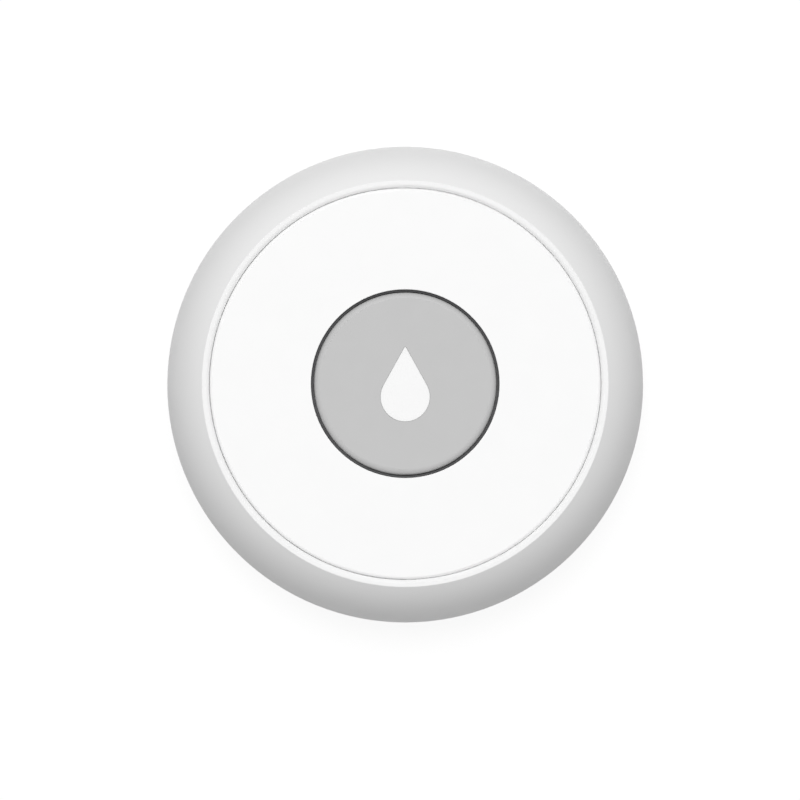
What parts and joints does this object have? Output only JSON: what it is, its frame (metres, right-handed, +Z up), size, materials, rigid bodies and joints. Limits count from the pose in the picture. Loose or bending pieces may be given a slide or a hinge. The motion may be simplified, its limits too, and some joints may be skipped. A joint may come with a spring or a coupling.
{
  "type": "water leak sensor",
  "caption": "Round floor sensor for water leaks: white puck with a grey push button and drop symbol on top, metal probe feet and a coin-slot battery cover below.",
  "frame": {"origin": "in the floor plane under the middle of the puck", "axes": "+Z up out of the face, +Y towards the tip of the drop on the button"},
  "size_m": [0.065, 0.065, 0.0177],
  "materials": {
    "shell_white": "fine satin moulding",
    "face_white": "fine satin moulding",
    "button_grey": "smooth satin moulding",
    "lens_white": "milky light guide, smooth",
    "seal_rubber": "matte black rubber",
    "membrane_silicone": "translucent silicone",
    "gasket_silicone": "grey silicone",
    "base_white": "fine spark-eroded moulding",
    "cover_white": "fine spark-eroded moulding",
    "screw_steel": "zinc-plated",
    "cell_steel": "nickel-plated",
    "cell_powder": "pressed powder",
    "nylon": "moulded nylon",
    "contact_nickel": "nickel-plated strip",
    "board_green": "solder mask",
    "board_blue": "solder mask",
    "switch_black": "moulded",
    "plunger_grey": "moulded",
    "lamp_resin": "clear resin",
    "chip_black": "moulded epoxy",
    "ceramic_tan": "ceramic",
    "track_gold": "gold-plated",
    "brass": "turned",
    "probe_steel": "polished stainless steel"
  },
  "bodies": {
    "housing": {"top_shell": "shell_white", "face_plate": "face_white", "button_seal": "seal_rubber", "button_membrane": "membrane_silicone", "base_shell": "base_white", "case_gasket": "gasket_silicone", "case_screws": "screw_steel", "coin_cell_can": "cell_steel", "coin_cell_core": "cell_powder", "coin_cell_grommet": "nylon", "coin_cell_cap": "cell_steel", "positive_contact": "contact_nickel", "negative_contact": "contact_nickel", "circuit_board": "board_green", "switch_base": "switch_black", "switch_frame": "contact_nickel", "switch_terminals": "contact_nickel", "status_lamp": "lamp_resin", "sounder_case": "switch_black", "sounder_disc": "brass", "radio_board": "board_blue", "radio_shield": "contact_nickel", "radio_chip": "chip_black", "antenna": "track_gold", "sense_chip": "chip_black", "sense_chip_leads": "contact_nickel", "crystal": "contact_nickel", "capacitors": "ceramic_tan", "probe_feet": "probe_steel", "probe_rings": "seal_rubber", "probe_nuts": "brass", "spring_pins": "track_gold"},
    "button": {"button_cap": "button_grey", "drop_lens": "lens_white"},
    "switch_slider": {"switch_plunger": "plunger_grey"},
    "cover_ring": {"battery_cover_seal": "seal_rubber"},
    "cover": {"battery_cover": "cover_white"}
  },
  "joints": [
    {"name": "button_press", "type": "slide", "parent": "housing", "child": "button", "axis": [0, 0, -1], "range_m": [0, 0.0006], "stiffness_N_per_m": 3000, "deforming": ["button_membrane"]},
    {"name": "plunger_press", "type": "slide", "parent": "housing", "child": "switch_slider", "axis": [0, 0, -1], "range_m": [0, 0.0006]},
    {"name": "cover_travel", "type": "slide", "parent": "housing", "child": "cover_ring", "axis": [0, 0, -1], "range_m": [0, 0.006]},
    {"name": "cover_turn", "type": "hinge", "parent": "cover_ring", "child": "cover", "pos_m": [0, 0, 0.0015], "axis": [0, 0, -1], "range_deg": [0, 360]}
  ],
  "couplings": [
    {"joint": "plunger_press", "follows": "button_press", "ratio": 1},
    {"joint": "cover_turn", "follows": "cover_travel", "rad_per_m": 1047.2}
  ]
}
